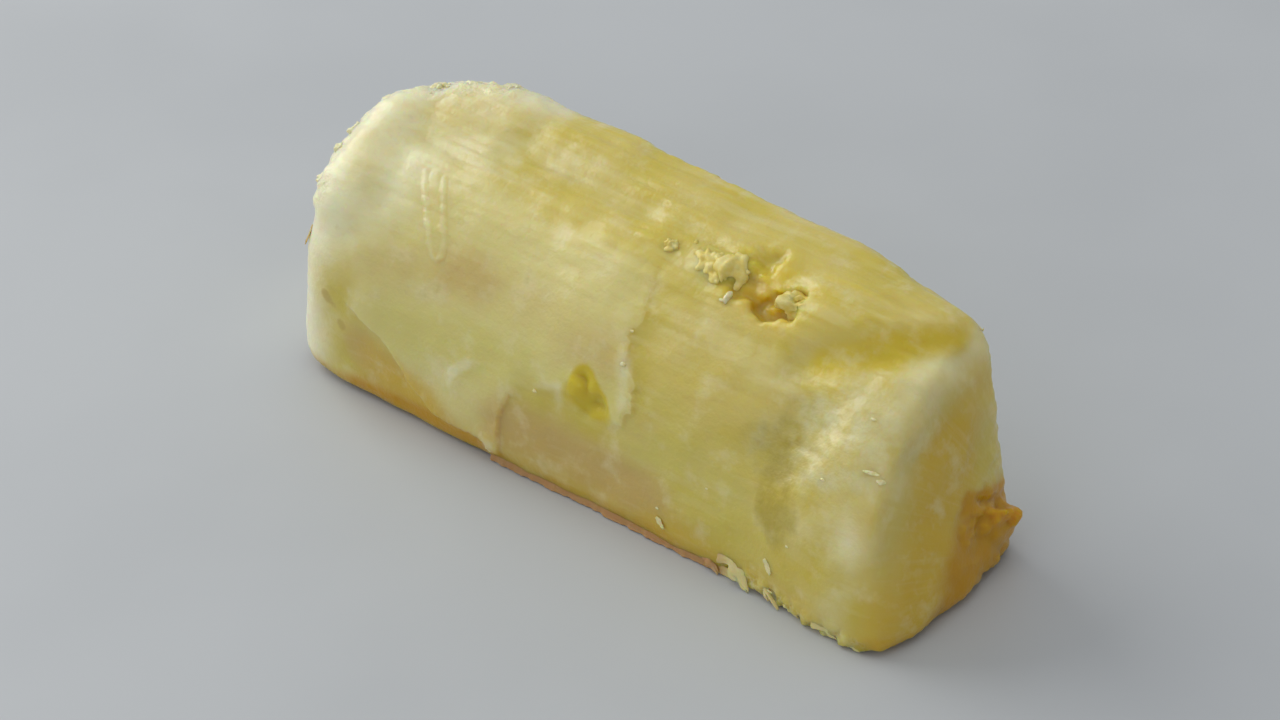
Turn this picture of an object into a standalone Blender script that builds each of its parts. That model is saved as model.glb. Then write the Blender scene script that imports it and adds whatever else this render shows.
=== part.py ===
"""A boiled piece of cassava root: a quarter of a peeled root, split lengthwise and cut off at both ends.

Metres, +Z up. X runs along the root, the round outer side faces -Y and up, and the two split sides
face +Y and down. The origin is under the middle of the piece, on the surface that it lies on. Places
on the piece are in millimetres, before the last step moves the piece's middle to the origin.
"""

import math
import random

import bmesh
import bpy
from mathutils import Matrix, Vector, noise

NAME = "cassava_piece"
MM = 0.001
WELD = 0.00001

# Driving sizes of the piece
BASE_WIDTH = 31.0
HEIGHT = 36.0

# The coarse cage: cells along the root, across it and up it
CELLS = (12, 4, 4)
CAGE_LEVELS = 2

# Places of the cage's rings along the root, and how far the soft ends draw each ring in
RINGS = (-55.4, -53.3, -48.6, -39.0, -26.0, -13.0, 0.0, 13.0, 25.0, 35.5, 42.5, 46.0, 47.7)
RING_SCALES = (0.72, 0.90, 0.985, 1.0, 1.0, 1.0, 1.0, 1.0, 1.0, 1.0, 1.0, 0.99, 0.95)
SECTION_MIDDLE = Vector((0.42, 0.42))

# The root's girth in shares of the driving sizes, and how square its round side is, by place along it
WIDTH_ALONG = ((-54, 1.00), (-20, 1.04), (20, 1.02), (48, 0.98))
HEIGHT_ALONG = ((-54, 0.94), (-15, 0.99), (20, 0.98), (48, 0.90))
ROUNDNESS_ALONG = ((-54, 3.7), (-15, 2.6), (48, 2.25))
# How far the front edge stands forward of the half width
FRONT_ALONG = ((-54, 0.9), (-20, 0.2), (20, 0.4), (48, 2.3))

# Both ends are knife cuts that lean inwards as they rise, each from its own place along the root. The
# left one is worn to a low dome, and the right one bulges low down
LEFT_DOME = 1.2
LEFT_LEAN = 4.2
LEFT_LEAN_FROM = -26.0
RIGHT_BULGE = 3.5
BULGE_ACROSS = 0.45
BULGE_REACH = 0.6
RIGHT_LEAN = 4.0
RIGHT_LEAN_FROM = 25.0

# Cross-section of the cage: shares of the base width, from the front edge to the root's middle
BASE_STEPS = (1.0, 0.90, 0.55, 0.12, 0.0)
# Shares of the height, up the split side at the back
BACK_STEPS = (0.0, 0.12, 0.45, 0.88, 1.0)
# Angles along the round outer side, from the front edge to the top edge
OUTER_ANGLES = (0, 9, 20, 32, 45, 58, 70, 81, 90)

# Relief of the flesh. The split sides show the root's lengthwise strands, the cut end a slight ripple
SWELL = 0.7
SWELL_SIZE = 16.0
STRAND_DEPTH = 0.9
STRAND_LENGTH = 26.0
STRAND_WIDTH = 3.2
SPLIT_FACING = (0.5, 0.9)
CUT_RIPPLE = 0.5
CUT_RIPPLE_SIZE = 5.0
CUT_FACING = (0.6, 0.9)
# The root's middle, where the woody string was pulled out: a groove along the low back edge
STRING_DEPTH = 1.2
STRING_REACH = 4.0
STRING_SPAN = 40.0

# Worn places, as (from, to, reach, how far the flesh stands out there)
SOFT_MARKS = (
    ((31.9, -9.3, 24.0), (29.0, -12.5, 20.0), 6.5, -1.1),
    ((27.0, 2.5, 32.8), (39.0, 8.0, 32.6), 7.0, 1.2),
    ((28.0, -4.6, 29.0), (43.5, 7.0, 31.2), 4.2, -0.9),
    ((40.0, -9.0, 24.0), (41.0, -4.0, 28.0), 6.0, 0.6),
    ((-26.0, 5.0, 34.5), (-6.0, 4.0, 34.5), 6.0, -0.8),
    ((-47.0, -9.0, 29.0), (-49.5, 2.0, 32.0), 8.5, 2.5),
    ((-47.0, 6.0, 33.0), (-35.0, 13.0, 34.5), 9.0, 1.4),
    ((-44.0, 10.0, 34.5), (-18.0, 13.0, 35.0), 10.0, 1.0),
    ((-53.0, -8.0, 14.0), (-54.0, 6.0, 20.0), 9.0, -0.8),
)

# The thin outer film that still clings to the left part of the round side, seen from the front (x, z)
FILM_RISE = 0.65
FILM_SINK = -0.5
FILM_OUTLINE = (
    (-46.5, 18.0), (-43.0, 15.0), (-38.0, 11.0), (-32.3, 5.8), (-29.4, 3.4), (-25.8, 2.6),
    (-21.6, 2.9), (-18.6, 3.2), (-17.2, 1.8), (-16.2, 2.4), (-15.6, 6.4), (-13.4, 8.8),
    (-12.8, 11.4), (-8.0, 13.6), (-4.1, 15.2), (0.0, 14.2), (3.0, 15.6), (5.4, 14.8),
    (6.9, 17.2), (7.1, 19.9), (4.6, 22.2), (1.6, 24.6), (3.4, 27.6), (2.2, 31.0),
    (3.4, 34.0), (1.0, 42.0), (-52.0, 42.0), (-52.0, 30.0),
)
FILM_DEPTH = 30.0
RAG_STEP = 1.3
RAG = 0.9
RAG_OFFSET = Vector((31.7, 12.3, 5.1))
# Where the film thins out and dives into the flesh: to the left end, over the top and underneath
FILM_LEFT = (-49.0, -40.0)
FILM_TOP = (0.0, 5.5)
FILM_UNDER = (0.5, 0.8)

# A thin strip of film, folded back on itself, lies down the round side near its left end
STRIP_ROUTE = (
    (-35.6, -2.0, 31.9), (-34.1, -5.2, 30.6), (-32.6, -8.0, 28.5), (-30.5, -10.0, 26.3),
    (-28.6, -11.2, 24.6), (-27.6, -10.8, 25.4), (-28.9, -8.9, 27.6), (-31.0, -6.4, 29.8),
    (-33.4, -3.7, 31.4),
)
STRIP_RADIUS = 0.5
STRIP_RISE = 0.75

# The tongue of flesh that has split off and bent out at the right end, and the crack above it
TONGUE = (
    (46.0, 1.5, 11.3), (48.4, 3.5, 10.4), (50.3, 7.5, 8.7), (50.6, 10.2, 7.2),
    (49.2, 11.6, 5.6), (49.4, 9.0, 2.4), (49.0, 3.5, 3.5), (44.0, 4.0, 9.6), (44.0, 10.5, 6.0),
    (44.0, 6.0, 3.0),
)
CRACK = (
    (52.0, 0.5, 13.4), (52.0, 0.5, 11.9), (52.0, 13.5, 8.0), (52.0, 13.5, 6.3),
    (43.5, 2.5, 12.0), (43.0, 13.5, 7.2),
)

# Torn slivers, as (root, tip, width): along the bottom edge, then one on the film and one at the top
SLIVERS = (
    ((24.6, -15.2, 3.6), (27.2, -16.8, 0.9), 2.4),
    ((28.6, -15.4, 3.8), (31.6, -17.4, 0.8), 2.8),
    ((33.4, -15.8, 3.0), (35.8, -17.3, 0.7), 2.2),
    ((38.4, -16.2, 2.6), (41.2, -17.7, 0.7), 2.6),
    ((44.0, -16.2, 2.4), (46.0, -17.9, 0.8), 2.2),
    ((-19.4, -14.4, 13.8), (-24.8, -16.3, 8.6), 2.2),
    ((10.6, -3.0, 30.6), (14.2, -3.4, 30.9), 1.8),
)
SLIVER_ROOT = 0.6
SLIVER_SIDES = 6
SLIVER_FLATNESS = 0.45
SLIVER_TIP = 0.2

# Crumbs of loose flesh, as (first place, last place, how many, size)
CRUMB_ROWS = (
    ((0.0, 2.0, 34.2), (13.0, -1.0, 33.2), 8, 1.0),
    ((20.5, 3.5, 33.4), (25.5, 4.5, 33.8), 4, 1.1),
    ((-49.0, -10.0, 28.0), (-51.0, 6.0, 32.0), 8, 1.5),
    ((-48.0, 8.0, 33.5), (-35.0, 13.5, 35.5), 7, 1.4),
    ((31.0, -12.0, 20.0), (38.0, -5.0, 27.0), 5, 0.9),
)
CRUMB_SCATTER = 1.6
CRUMB_SIZES = (0.6, 1.3)
CRUMB_STRETCH = (1.0, 1.5)
CRUMB_SINK = 0.45
CRUMB_ROUGHNESS = 0.35
CRUMB_SEED = 7

# Hollows, as (middle, half sizes, turn about Z in degrees, roughness): first the pit in the round
# side, then the torn opening along the top
HOLLOWS = (
    ((-0.6, -14.4, 16.6), (2.7, 2.3, 2.4), 0, 0.3),
    ((-1.8, -13.4, 18.8), (1.6, 2.2, 2.2), 0, 0.3),
    ((15.8, -0.4, 32.6), (3.6, 2.2, 1.9), -10, 0.5),
    ((20.2, 0.6, 32.4), (3.4, 2.3, 2.4), 20, 0.5),
    ((13.8, 4.0, 34.4), (3.0, 2.4, 1.3), 30, 0.5),
)

# How uneven the crumbs and hollows are, in lumps per radius
LUMPS = 1.7

# How much of the lowest relief is flattened by the surface that the piece lies on
SETTLED = 0.7

# Edges sharper than this stay crisp in the shading
SHARP_ANGLE = math.radians(50)

FLESH_COLOUR = (0.62, 0.57, 0.27, 1.0)
FLESH_ROUGHNESS = 0.32


def clear_scene():
    """Removes whatever the file holds, so that only the piece is in it."""
    for thing in list(bpy.data.objects):
        bpy.data.objects.remove(thing, do_unlink=True)


def collection(name):
    """A new collection in the scene."""
    made = bpy.data.collections.new(name)
    bpy.context.scene.collection.children.link(made)
    return made


def new_object(name, box, home):
    """Makes an object in a collection from a bmesh in millimetres, and frees the bmesh."""
    bmesh.ops.scale(box, vec=(MM, MM, MM), verts=box.verts)
    bmesh.ops.recalc_face_normals(box, faces=box.faces)
    mesh = bpy.data.meshes.new(name)
    box.to_mesh(mesh)
    box.free()
    made = bpy.data.objects.new(name, mesh)
    home.objects.link(made)
    return made


def applied(thing):
    """Replaces an object's mesh by the one that its modifiers make."""
    graph = bpy.context.evaluated_depsgraph_get()
    mesh = bpy.data.meshes.new_from_object(thing.evaluated_get(graph))
    thing.modifiers.clear()
    thing.data = mesh


def ease(value, low, high):
    """Rises smoothly from 0 at the low value to 1 at the high one."""
    share = min(max((value - low) / (high - low), 0.0), 1.0)
    return share * share * (3 - 2 * share)


def along(keys, x):
    """The value at this place between (place, value) keys, eased from key to key."""
    for (low, first), (high, last) in zip(keys, keys[1:]):
        if x <= high:
            return first + (last - first) * ease(x, low, high)
    return keys[-1][1]


def lattice_box(cells):
    """A closed box from -1 to 1 whose faces are cut into a grid of this many cells along each axis."""
    box = bmesh.new()
    bmesh.ops.create_cube(box, size=2.0)
    for axis, count in enumerate(cells):
        normal = Vector((0, 0, 0))
        normal[axis] = 1.0
        for cut in range(1, count):
            everything = box.verts[:] + box.edges[:] + box.faces[:]
            bmesh.ops.bisect_plane(
                box, geom=everything, plane_co=normal * (2 * cut / count - 1), plane_no=normal
            )
    return box


def outer_point(angle, roundness):
    """Share of the width and of the height at this angle on the round outer side."""
    power = 2 / roundness
    turn = math.radians(angle)
    return Vector((max(math.cos(turn), 0.0) ** power, max(math.sin(turn), 0.0) ** power))


def section_point(across, up, roundness):
    """The cage's cross-section at a grid place from 0 to 1 each way, spread between its four sides."""
    j, k = round(across * CELLS[1]), round(up * CELLS[2])
    base = Vector((BASE_STEPS[j], 0.0))
    top = outer_point(OUTER_ANGLES[CELLS[2] + j], roundness)
    front = outer_point(OUTER_ANGLES[k], roundness)
    back = Vector((0.0, BACK_STEPS[k]))
    corners = (
        (1 - across) * (1 - up) * Vector((1.0, 0.0))
        + (1 - across) * up * outer_point(OUTER_ANGLES[CELLS[2]], roundness)
        + across * up * Vector((0.0, 1.0))
    )
    return (1 - up) * base + up * top + (1 - across) * front + across * back - corners


def end_bulge(ring, across, up):
    """How far an end's own points stand out along the root, past the ring round that end."""
    if ring == 0:
        return -LEFT_DOME * 16 * across * (1 - across) * up * (1 - up)
    if ring == CELLS[0]:
        away = math.hypot(across - BULGE_ACROSS, up) / BULGE_REACH
        return RIGHT_BULGE * max(1 - away * away, 0.0)
    return 0.0


def cage():
    """The coarse cage of the whole piece, before it is rounded."""
    box = lattice_box(CELLS)
    for vert in box.verts:
        lengthwise, across, up = ((c + 1) / 2 for c in vert.co)
        ring = round(lengthwise * CELLS[0])
        x = RINGS[ring]
        share = section_point(across, up, along(ROUNDNESS_ALONG, x))
        share = SECTION_MIDDLE + (share - SECTION_MIDDLE) * RING_SCALES[ring]
        lean = RIGHT_LEAN * share.y**2 * max((x - RIGHT_LEAN_FROM) / (RINGS[-1] - RIGHT_LEAN_FROM), 0.0)
        lean -= LEFT_LEAN * share.y * max((x - LEFT_LEAN_FROM) / (RINGS[0] - LEFT_LEAN_FROM), 0.0)
        width = BASE_WIDTH * along(WIDTH_ALONG, x)
        height = HEIGHT * along(HEIGHT_ALONG, x)
        front = -BASE_WIDTH / 2 - along(FRONT_ALONG, x)
        x += end_bulge(ring, across, up) - lean
        vert.co = Vector((x, front + width * (1 - share.x), height * share.y))
    return box


def bump(at, start, finish, reach):
    """1 on the line between two places, falling smoothly to 0 at this reach from it."""
    start, finish = Vector(start), Vector(finish)
    line = finish - start
    share = min(max((at - start).dot(line) / line.length_squared, 0.0), 1.0)
    away = (at - start - line * share).length / reach
    return (1 - away * away) ** 2 if away < 1 else 0.0


def relief(at, facing):
    """How far the surface stands out at this place, which faces this way."""
    out = SWELL * noise.noise(at / SWELL_SIZE)
    split = max(ease(facing.y, *SPLIT_FACING), ease(-facing.z, *SPLIT_FACING))
    strand = noise.noise(Vector((at.x / STRAND_LENGTH, at.y / STRAND_WIDTH, at.z / STRAND_WIDTH)))
    out -= STRAND_DEPTH * split * (0.5 + strand)
    out += CUT_RIPPLE * ease(facing.x, *CUT_FACING) * noise.noise(at / CUT_RIPPLE_SIZE)
    string = Vector((STRING_SPAN, BASE_WIDTH / 2, 0.0))
    out -= STRING_DEPTH * bump(at, string - Vector((2 * STRING_SPAN, 0, 0)), string, STRING_REACH)
    for start, finish, reach, height in SOFT_MARKS:
        out += height * bump(at, start, finish, reach)
    return out


def raised(thing, amount):
    """Moves each point of a mesh along its normal by amount(place, facing), all in millimetres."""
    points = [(v.co / MM, v.normal.copy()) for v in thing.data.vertices]
    for vert, (at, facing) in zip(thing.data.vertices, points):
        vert.co = (at + facing * amount(at, facing)) * MM
    thing.data.update()


def settle(thing, depth):
    """Lowers the piece by this depth and flattens what would lie below the surface under it."""
    lowest = min(v.co.z for v in thing.data.vertices)
    for vert in thing.data.vertices:
        vert.co.z = max(vert.co.z - lowest - depth * MM, 0.0)
    thing.data.update()


def make_body(home):
    """The flesh: the rounded cage with its relief, flat where it rests."""
    body = new_object(NAME, cage(), home)
    rounding = body.modifiers.new("rounding", "SUBSURF")
    rounding.levels = CAGE_LEVELS
    rounding.render_levels = CAGE_LEVELS
    applied(body)
    raised(body, relief)
    settle(body, SETTLED)
    return body


def ragged(outline):
    """The same closed outline with a point every step or so, each moved a little out of line."""
    points = []
    for (x0, z0), (x1, z1) in zip(outline, outline[1:] + outline[:1]):
        count = max(round(math.hypot(x1 - x0, z1 - z0) / RAG_STEP), 1)
        for i in range(count):
            place = Vector((x0, z0, 0.0)).lerp(Vector((x1, z1, 0.0)), i / count)
            shift = Vector((noise.noise(place), noise.noise(place + RAG_OFFSET), 0.0))
            points.append(place + RAG * shift)
    return points


def outline_prism(name, outline, depth, home):
    """A flat outline seen from the front, pulled out along Y on both sides of the root's middle."""
    curve = bpy.data.curves.new(name, "CURVE")
    curve.dimensions = "2D"
    curve.fill_mode = "BOTH"
    curve.extrude = depth * MM
    spline = curve.splines.new("POLY")
    spline.points.add(len(outline) - 1)
    for point, place in zip(spline.points, outline):
        point.co = (place.x * MM, place.y * MM, 0.0, 1.0)
    spline.use_cyclic_u = True
    drawn = bpy.data.objects.new(name, curve)
    drawn.rotation_euler.x = math.pi / 2
    home.objects.link(drawn)
    return as_mesh(drawn, home)


def as_mesh(drawn, home):
    """Replaces a curve object by a mesh object of the same shape, with its caps welded on."""
    bpy.context.view_layer.update()
    graph = bpy.context.evaluated_depsgraph_get()
    mesh = bpy.data.meshes.new_from_object(drawn.evaluated_get(graph))
    mesh.transform(drawn.matrix_world)
    box = bmesh.new()
    box.from_mesh(mesh)
    bmesh.ops.remove_doubles(box, verts=box.verts, dist=WELD)
    bmesh.ops.recalc_face_normals(box, faces=box.faces)
    box.to_mesh(mesh)
    box.free()
    name = drawn.name
    bpy.data.objects.remove(drawn, do_unlink=True)
    made = bpy.data.objects.new(name, mesh)
    home.objects.link(made)
    return made


def film_rise(at, facing):
    """How far the film stands off the flesh: its full rise, or sunk where it has thinned out."""
    kept = ease(at.x, *FILM_LEFT) * (1 - ease(at.y, *FILM_TOP)) * (1 - ease(-facing.z, *FILM_UNDER))
    return FILM_SINK + (FILM_RISE - FILM_SINK) * kept


def make_film(body, home):
    """The clinging film: a copy of the flesh, a little fatter, kept inside the film's outline."""
    film = bpy.data.objects.new("film", body.data.copy())
    home.objects.link(film)
    raised(film, film_rise)
    prism = outline_prism("film_outline", ragged(FILM_OUTLINE), FILM_DEPTH, home)
    keep = film.modifiers.new("outline", "BOOLEAN")
    keep.operation = "INTERSECT"
    keep.object = prism
    applied(film)
    bpy.data.objects.remove(prism, do_unlink=True)


def on_surface(body, place, rise):
    """The place on the body that is nearest to this one, raised by this much along the surface's normal."""
    _, spot, facing, _ = body.closest_point_on_mesh(Vector(place) * MM)
    return spot / MM + facing * rise, facing


def make_strip(body, home):
    """The folded strip: a thin smooth cord that follows its route on the round side."""
    curve = bpy.data.curves.new("strip", "CURVE")
    curve.dimensions = "3D"
    curve.bevel_depth = STRIP_RADIUS * MM
    curve.bevel_resolution = 1
    curve.use_fill_caps = True
    curve.resolution_u = 2
    spline = curve.splines.new("NURBS")
    spline.points.add(len(STRIP_ROUTE) - 1)
    for point, place in zip(spline.points, STRIP_ROUTE):
        spot, _ = on_surface(body, place, STRIP_RISE)
        point.co = (*(spot * MM), 1.0)
    spline.use_endpoint_u = True
    spline.order_u = 3
    drawn = bpy.data.objects.new("strip", curve)
    home.objects.link(drawn)
    as_mesh(drawn, home)


def hull(name, places, home):
    """The smallest solid round these places."""
    box = bmesh.new()
    for place in places:
        box.verts.new(place)
    made = bmesh.ops.convex_hull(box, input=box.verts[:])
    loose = [g for g in made["geom_interior"] + made["geom_unused"] if isinstance(g, bmesh.types.BMVert)]
    bmesh.ops.delete(box, geom=list(set(loose)), context="VERTS")
    return new_object(name, box, home)


def make_sliver(root, tip, width, body, home):
    """A flat splinter of flesh that tapers from its root inside the piece to its tip."""
    root, _ = on_surface(body, root, -SLIVER_ROOT)
    tip = Vector(tip)
    box = bmesh.new()
    bmesh.ops.create_cone(
        box, cap_ends=True, segments=SLIVER_SIDES, radius1=width / 2, radius2=width * SLIVER_TIP,
        depth=(tip - root).length,
    )
    flat = Matrix.Diagonal((1.0, SLIVER_FLATNESS, 1.0, 1.0))
    turn = (tip - root).to_track_quat("Z", "Y").to_matrix().to_4x4()
    place = Matrix.Translation((root + tip) / 2)
    bmesh.ops.transform(box, matrix=place @ turn @ flat, verts=box.verts)
    new_object("sliver", box, home)


def roughened(box, amount, seed_place):
    """Pushes the points of a ball of radius 1 in and out by up to this share of it."""
    for vert in box.verts:
        vert.co *= 1 + amount * noise.noise(vert.co * LUMPS + seed_place)


def make_crumbs(start, finish, count, size, draw, body, home):
    """A scattered row of small lumps of loose flesh, sunk well into the piece."""
    for i in range(count):
        middle = Vector(start).lerp(Vector(finish), (i + 0.5) / count)
        middle += Vector([draw.uniform(-CRUMB_SCATTER, CRUMB_SCATTER) for _ in range(3)])
        radius = size * draw.uniform(*CRUMB_SIZES)
        spot, facing = on_surface(body, middle, 0.0)
        spot -= facing * radius * CRUMB_SINK
        box = bmesh.new()
        bmesh.ops.create_icosphere(box, subdivisions=1, radius=1.0)
        roughened(box, CRUMB_ROUGHNESS, spot)
        turn = Matrix.Rotation(draw.uniform(0, math.pi), 4, facing)
        stretch = Matrix.Diagonal((radius * draw.uniform(*CRUMB_STRETCH), radius, radius, 1.0))
        bmesh.ops.transform(box, matrix=Matrix.Translation(spot) @ turn @ stretch, verts=box.verts)
        new_object("crumb", box, home)


def make_hollow(middle, halves, turn, rough, home):
    """A rough-sided hollow, as a stretched ball to be cut away."""
    box = bmesh.new()
    bmesh.ops.create_icosphere(box, subdivisions=2, radius=1.0)
    roughened(box, rough, Vector(middle))
    place = Matrix.Translation(middle) @ Matrix.Rotation(math.radians(turn), 4, "Z")
    bmesh.ops.transform(box, matrix=place @ Matrix.Diagonal((*halves, 1.0)), verts=box.verts)
    new_object("hollow", box, home)


def combine(body, others, operation):
    """Joins a collection's objects to the body, or cuts them out of it, and removes them."""
    step = body.modifiers.new(operation.lower(), "BOOLEAN")
    step.operation = operation
    step.operand_type = "COLLECTION"
    step.collection = others
    applied(body)
    for thing in list(others.objects):
        bpy.data.objects.remove(thing, do_unlink=True)
    bpy.data.collections.remove(others)


def tidy(body):
    """Welds what the joins left split, and flattens what reaches under the resting surface."""
    box = bmesh.new()
    box.from_mesh(body.data)
    for vert in box.verts:
        vert.co.z = max(vert.co.z, 0.0)
    bmesh.ops.remove_doubles(box, verts=box.verts, dist=WELD)
    bmesh.ops.dissolve_degenerate(box, edges=box.edges, dist=WELD)
    bmesh.ops.triangulate(box, faces=box.faces)
    box.to_mesh(body.data)
    box.free()


def centre(body):
    """Moves the middle of the piece's box over the origin."""
    xs = [v.co.x for v in body.data.vertices]
    ys = [v.co.y for v in body.data.vertices]
    middle = Vector(((min(xs) + max(xs)) / 2, (min(ys) + max(ys)) / 2, 0.0))
    body.data.transform(Matrix.Translation(-middle))


def flesh_material():
    """Wet, starchy boiled flesh of a greenish yellow."""
    material = bpy.data.materials.new("boiled_flesh")
    material.use_nodes = True
    shader = material.node_tree.nodes["Principled BSDF"]
    shader.inputs["Base Color"].default_value = FLESH_COLOUR
    shader.inputs["Roughness"].default_value = FLESH_ROUGHNESS
    shader.inputs["Metallic"].default_value = 0.0
    return material


def make_piece():
    """The whole piece: its flesh, what stands up on it and what is cut into it."""
    body = make_body(collection(NAME))
    additions = collection("additions")
    make_film(body, additions)
    make_strip(body, additions)
    hull("tongue", TONGUE, additions)
    for sliver in SLIVERS:
        make_sliver(*sliver, body, additions)
    draw = random.Random(CRUMB_SEED)
    for row in CRUMB_ROWS:
        make_crumbs(*row, draw, body, additions)
    combine(body, additions, "UNION")
    cutters = collection("cutters")
    for hollow in HOLLOWS:
        make_hollow(*hollow, cutters)
    hull("crack", CRACK, cutters)
    combine(body, cutters, "DIFFERENCE")
    tidy(body)
    centre(body)
    body.data.shade_smooth()
    body.data.set_sharp_from_angle(angle=SHARP_ANGLE)
    body.data.materials.clear()
    body.data.materials.append(flesh_material())
    return body


clear_scene()
make_piece()
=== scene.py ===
"""A boiled piece of cassava root on a pale table: a quarter of a peeled root, cut off at both ends.

Places on the piece are in millimetres, measured from a fixed place on it. Each finished piece is moved by
SHIFT at the end, so that the middle of the whole thing comes over the origin.
"""

import math
import random

import bmesh
import bpy
import numpy as np
from mathutils import Matrix, Vector, noise


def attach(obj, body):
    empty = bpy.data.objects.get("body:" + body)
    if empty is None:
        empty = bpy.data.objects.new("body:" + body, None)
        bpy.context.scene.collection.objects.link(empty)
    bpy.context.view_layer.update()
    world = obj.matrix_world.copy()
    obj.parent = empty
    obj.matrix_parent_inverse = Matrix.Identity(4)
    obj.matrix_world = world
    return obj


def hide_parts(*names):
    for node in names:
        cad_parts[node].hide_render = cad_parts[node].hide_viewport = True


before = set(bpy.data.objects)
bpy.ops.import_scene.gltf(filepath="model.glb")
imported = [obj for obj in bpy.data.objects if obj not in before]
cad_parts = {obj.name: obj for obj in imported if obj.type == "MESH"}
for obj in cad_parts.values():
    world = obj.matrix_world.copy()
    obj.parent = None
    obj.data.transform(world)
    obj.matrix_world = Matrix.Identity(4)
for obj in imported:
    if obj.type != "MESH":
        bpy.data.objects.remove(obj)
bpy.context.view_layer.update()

# The camera stands in front, to the right of the piece, and looks down at it by about 35 degrees. Its long
# lens fills the picture with the piece.
MM = 0.001
SHIFT = Vector((2.1886, 0.837, 0)) * MM
CAMERA_PLACE = Vector((291.8, -310.8, 315.5)) * MM + SHIFT
CAMERA_RIGHT = Vector((0.8, 0.6, 0))
CAMERA_FORWARD = Vector((-0.4915, 0.6554, -0.5736))
CAMERA_AIM = Vector((-2.5, -1, 14)) * MM + SHIFT
LENS = 114


def added(command, **settings):
    """Runs one of the commands that add something, and returns what it adds."""
    bpy.ops.object.select_all(action="DESELECT")
    command(**settings)
    return bpy.context.object


camera_up = CAMERA_RIGHT.cross(CAMERA_FORWARD)
level = Matrix((CAMERA_RIGHT, camera_up, -CAMERA_FORWARD)).transposed()
turn = CAMERA_FORWARD.rotation_difference(CAMERA_AIM - CAMERA_PLACE)
camera = added(bpy.ops.object.camera_add, location=CAMERA_PLACE)
camera.name = "camera"
camera.rotation_mode = "QUATERNION"
camera.rotation_quaternion = turn @ level.to_quaternion()
camera.data.lens = LENS
camera.data.clip_start = 0.01
camera.data.clip_end = 20
bpy.context.scene.camera = camera


# The table is a pale glazed top with a hint of blue. A wide lamp stands to the left like a window, a weaker
# one hangs over the piece, and another in front fills the shadows.
TABLE_RADIUS = 3
TABLE_SIDES = 128
TABLE_COLOUR = (0.56, 0.585, 0.6, 1)
TABLE_SHADE = (0.535, 0.56, 0.575, 1)
ROOM_COLOUR = (0.88, 0.9, 0.94, 1)
ROOM_STRENGTH = 0.42
LAMPS = (
    ("window", (-0.98, -0.04, 0.6), 1, 7.6, (1, 0.99, 0.97)),
    ("ceiling", (0.04, 0.16, 1.1), 0.8, 1.3, (1, 1, 1)),
    ("front_fill", (0.1, -1.1, 0.6), 0.9, 1.5, (1, 1, 1)),
)


def new_finish(name):
    """A new material: its node tree and its surface shader."""
    material = bpy.data.materials.new(name)
    material.use_nodes = True
    return material, material.node_tree, material.node_tree.nodes["Principled BSDF"]


def feed(node, inputs):
    """Gives a node's inputs these values, or links them to these outputs."""
    for name, value in inputs.items():
        if isinstance(value, bpy.types.NodeSocket):
            node.id_data.links.new(value, node.inputs[name])
        else:
            node.inputs[name].default_value = value


def new_node(tree, kind, inputs, **settings):
    """A new node of this kind with these inputs and settings."""
    node = tree.nodes.new(kind)
    for name, value in settings.items():
        setattr(node, name, value)
    feed(node, inputs)
    return node


def soft_noise(where, detail, roughness=0.5):
    """Soft noise at these coordinates, from 0 to 1."""
    inputs = {"Vector": where, "Scale": 1, "Detail": detail, "Roughness": roughness}
    return new_node(where.id_data, "ShaderNodeTexNoise", inputs).outputs["Fac"]


def speckle(tree, size, detail=2, longer=1, roughness=0.5, offset=(0, 0, 0)):
    """Soft noise with lumps about this many millimetres across, and so many times longer along the root."""
    where = new_node(tree, "ShaderNodeTexCoord", {}).outputs["Object"]
    scale = [1 / (size * MM * s) for s in (longer, 1, 1)]
    mapping = new_node(tree, "ShaderNodeMapping", {"Vector": where, "Scale": scale, "Location": offset})
    return soft_noise(mapping.outputs["Vector"], detail, roughness)


def ranged(value, low=0.35, high=0.65, to_low=0, to_high=1):
    """Rises smoothly from one value to another while the input goes from low to high."""
    inputs = {"Value": value, "From Min": low, "From Max": high, "To Min": to_low, "To Max": to_high}
    made = new_node(value.id_data, "ShaderNodeMapRange", inputs, interpolation_type="SMOOTHSTEP")
    return made.outputs["Result"]


def tinted(under, colour, share):
    """One colour laid over another by a share from 0 to 1."""
    inputs = {"Factor": share, 6: under, 7: colour}
    return new_node(share.id_data, "ShaderNodeMix", inputs, data_type="RGBA").outputs[2]


table = added(bpy.ops.mesh.primitive_circle_add, vertices=TABLE_SIDES, radius=TABLE_RADIUS, fill_type="NGON")
table.name = "table_top"
glaze, tree, shader = new_finish("pale_glaze")
cloud = ranged(speckle(tree, 60, detail=3))
feed(shader, {
    "Base Color": tinted(TABLE_COLOUR, TABLE_SHADE, cloud),
    "Roughness": ranged(speckle(tree, 25), 0.3, 0.7, 0.46, 0.52),
})
table.data.materials.append(glaze)

for name, place, size, power, colour in LAMPS:
    lamp = added(bpy.ops.object.light_add, type="AREA", location=place)
    lamp.name = name
    lamp.data.shape = "DISK"
    lamp.data.size = size
    lamp.data.energy = power
    lamp.data.color = colour
    lamp.rotation_mode = "QUATERNION"
    lamp.rotation_quaternion = (-Vector(place)).to_track_quat("-Z", "Y")

room = bpy.data.worlds.new("room")
bpy.context.scene.world = room
room.use_nodes = True
background = room.node_tree.nodes["Background"]
feed(background, {"Color": ROOM_COLOUR, "Strength": ROOM_STRENGTH})
bpy.context.scene.view_settings.view_transform = "Standard"


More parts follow.
